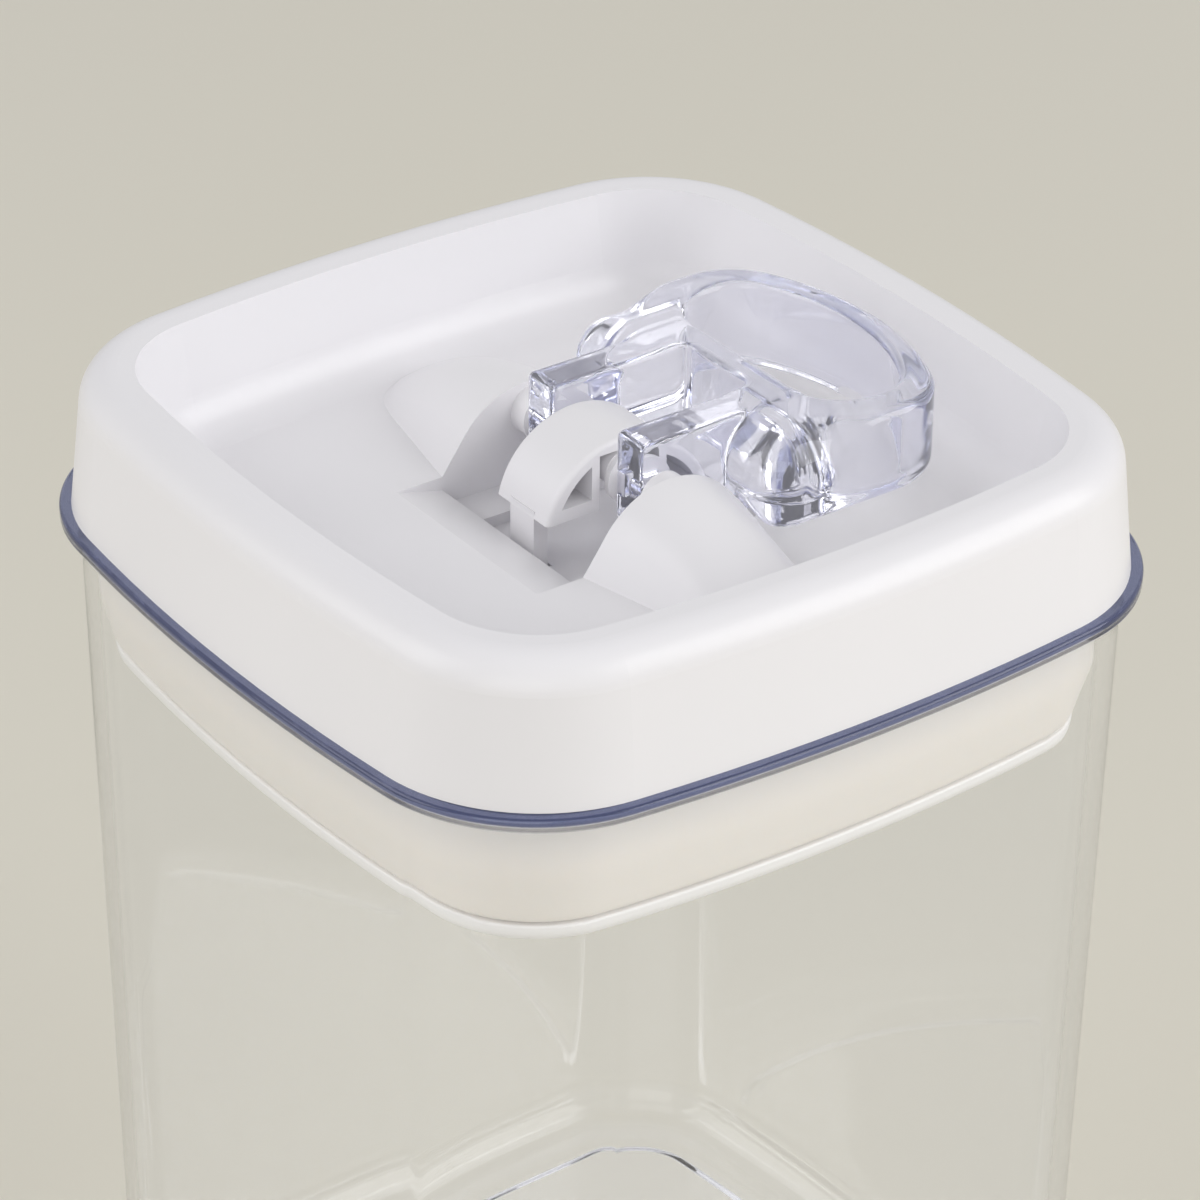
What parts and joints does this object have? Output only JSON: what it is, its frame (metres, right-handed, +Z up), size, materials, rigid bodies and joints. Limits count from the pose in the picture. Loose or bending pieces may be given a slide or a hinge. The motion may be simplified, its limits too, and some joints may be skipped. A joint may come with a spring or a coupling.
{
  "type": "storage container",
  "caption": "Square clear kitchen canister with bowed sides and a white lid, sealed by a flip lever with a finger ring that pulls up a plate and squeezes a soft ring against the wall.",
  "frame": {"origin": "centre of the canister's foot, on the surface it stands on", "axes": "+Z up, +X from the lever's pivot to its finger ring, Y along the lever's pivot"},
  "size_m": [0.1092, 0.1092, 0.1498],
  "materials": {
    "clear": "clear, polished",
    "lever_clear": "clear with a faint lavender tint, polished",
    "white": "smooth satin white",
    "silicone": "milky, slightly see-through",
    "steel": "plain"
  },
  "bodies": {
    "container": {"container_body": "clear"},
    "lid": {"lid_shell": "white", "bush_near": "white", "bush_far": "white", "pivot_pin_near": "steel", "pivot_pin_far": "steel", "lid_base": "white", "base_screws": "steel", "gasket": "silicone"},
    "lever_body": {"lever": "lever_clear", "cam_axle": "white"},
    "plate_body": {"pull_yoke": "white", "pressure_plate": "white"}
  },
  "joints": [
    {"name": "lid_lift", "type": "slide", "parent": "container", "child": "lid", "axis": [0, 0, 1], "range_m": [0, 0.06]},
    {"name": "lever_flip", "type": "hinge", "parent": "lid", "child": "lever_body", "pos_m": [0.0008, 0, 0.1412], "axis": [0, -1, 0], "range_deg": [0, 90]},
    {"name": "plate_drop", "type": "slide", "parent": "lid", "child": "plate_body", "axis": [0, 0, -1], "range_m": [0, 0.0018], "deforming": ["gasket"]}
  ],
  "couplings": [
    {"joint": "plate_drop", "follows": "lever_flip", "m_per_rad": 0.0011459}
  ]
}
